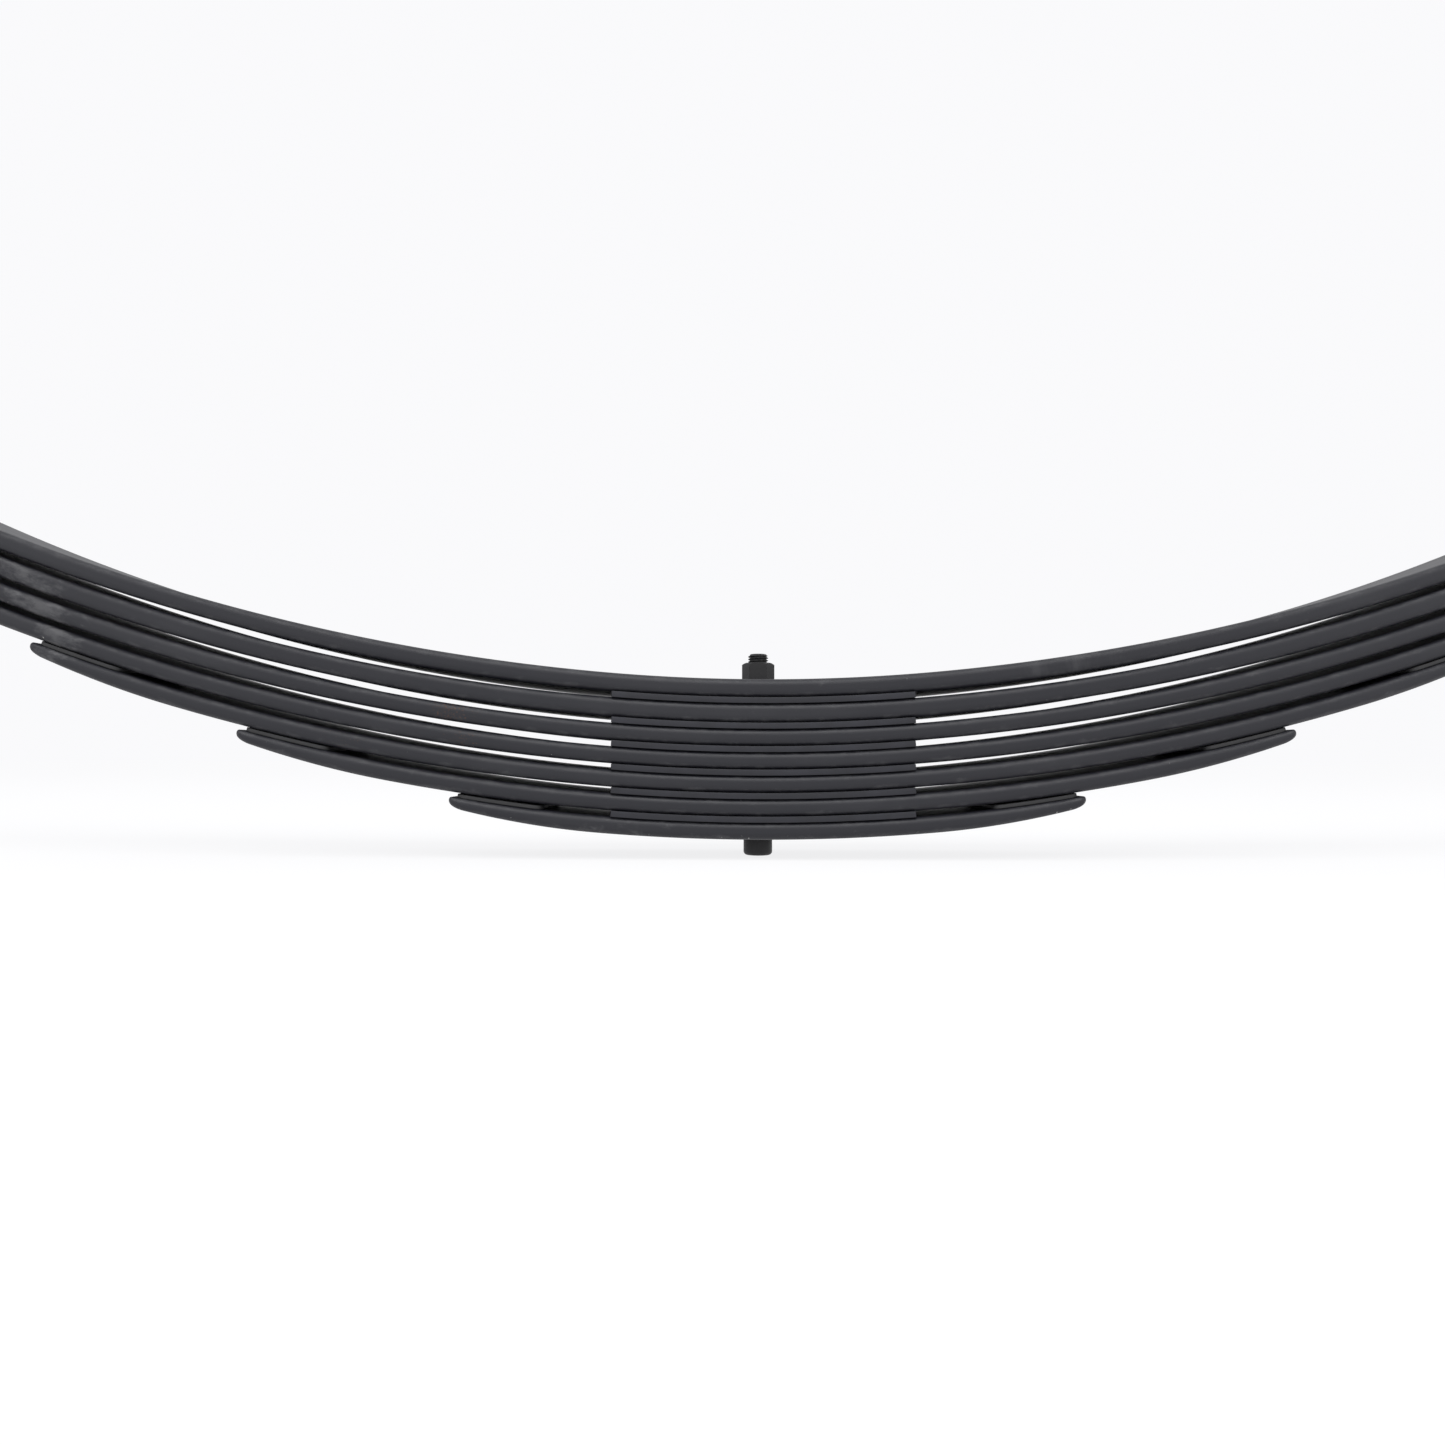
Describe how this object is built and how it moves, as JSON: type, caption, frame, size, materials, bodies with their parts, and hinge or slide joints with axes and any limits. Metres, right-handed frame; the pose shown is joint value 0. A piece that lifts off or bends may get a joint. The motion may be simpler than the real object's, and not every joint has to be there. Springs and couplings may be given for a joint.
{
  "type": "leaf spring",
  "caption": "Arched multi-leaf spring pack with spacer strips between the leaves, a centre bolt, rolled bushed eyes and rebound clips.",
  "frame": {"origin": "on the centre bolt's axis, at the underside of the shortest leaf, which is also the seat of the bolt's round head", "axes": "+X along the leaves towards the longer half, the right of the picture; +Y across the leaves, away from the viewer; +Z from the bolt's head to its nut, so the eyes are up"},
  "size_m": [1.1589, 0.089, 0.3064],
  "materials": {
    "leaf_paint": "satin charcoal paint",
    "spacer_steel": "satin grey paint on flat strip",
    "pad_plastic": "dark low-friction plastic",
    "bolt_steel": "blackened steel",
    "bush_rubber": "moulded rubber",
    "sleeve_steel": "plain drawn tube",
    "clip_paint": "satin charcoal paint"
  },
  "bodies": {
    "pack": {"main_leaf": "leaf_paint", "leaf_2": "leaf_paint", "leaf_3": "leaf_paint", "leaf_4": "leaf_paint", "leaf_5": "leaf_paint", "leaf_6": "leaf_paint", "leaf_7": "leaf_paint", "spacer_1": "spacer_steel", "spacer_2": "spacer_steel", "spacer_3": "spacer_steel", "spacer_4": "spacer_steel", "spacer_5": "spacer_steel", "spacer_6": "spacer_steel", "pad_2_rear": "pad_plastic", "pad_3_rear": "pad_plastic", "pad_4_rear": "pad_plastic", "pad_5_rear": "pad_plastic", "pad_6_rear": "pad_plastic", "pad_7_rear": "pad_plastic", "pad_2_front": "pad_plastic", "pad_3_front": "pad_plastic", "pad_4_front": "pad_plastic", "pad_5_front": "pad_plastic", "pad_6_front": "pad_plastic", "pad_7_front": "pad_plastic", "centre_bolt": "bolt_steel", "centre_nut": "bolt_steel", "clip_strap_rear": "clip_paint", "clip_bolt_rear": "clip_paint", "clip_tube_rear": "clip_paint", "clip_nut_rear": "clip_paint", "clip_rivet_rear": "clip_paint", "clip_strap_front": "clip_paint", "clip_bolt_front": "clip_paint", "clip_tube_front": "clip_paint", "clip_nut_front": "clip_paint", "clip_rivet_front": "clip_paint"},
    "rear_bush": {"bush_rear_near": "bush_rubber", "bush_rear_far": "bush_rubber"},
    "front_bush": {"bush_front_near": "bush_rubber", "bush_front_far": "bush_rubber"},
    "rear_sleeve": {"sleeve_rear": "sleeve_steel"},
    "front_sleeve": {"sleeve_front": "sleeve_steel"}
  },
  "joints": [
    {"name": "rear_flex", "type": "hinge", "parent": "pack", "child": "rear_bush", "pos_m": [-0.15, 0, 0.08], "axis": [0, -1, 0], "range_deg": [-3, 24], "stiffness_Nm_per_rad": 3200, "deforming": ["main_leaf", "leaf_2", "leaf_3", "leaf_4", "leaf_5", "leaf_6", "leaf_7", "pad_2_rear", "pad_3_rear", "pad_4_rear", "pad_5_rear", "pad_6_rear", "pad_7_rear", "clip_strap_rear", "clip_bolt_rear", "clip_tube_rear", "clip_nut_rear", "clip_rivet_rear"]},
    {"name": "front_flex", "type": "hinge", "parent": "pack", "child": "front_bush", "pos_m": [0.15, 0, 0.08], "axis": [0, 1, 0], "range_deg": [-3, 24], "stiffness_Nm_per_rad": 3200, "deforming": ["main_leaf", "leaf_2", "leaf_3", "leaf_4", "leaf_5", "leaf_6", "leaf_7", "pad_2_front", "pad_3_front", "pad_4_front", "pad_5_front", "pad_6_front", "pad_7_front", "clip_strap_front", "clip_bolt_front", "clip_tube_front", "clip_nut_front", "clip_rivet_front"]},
    {"name": "rear_sleeve_turn", "type": "hinge", "parent": "rear_bush", "child": "rear_sleeve", "pos_m": [-0.55015, 0, 0.26647], "axis": [0, 1, 0], "range_deg": [-35, 35]},
    {"name": "front_sleeve_turn", "type": "hinge", "parent": "front_bush", "child": "front_sleeve", "pos_m": [0.5558, 0, 0.27039], "axis": [0, 1, 0], "range_deg": [-35, 35]}
  ]
}
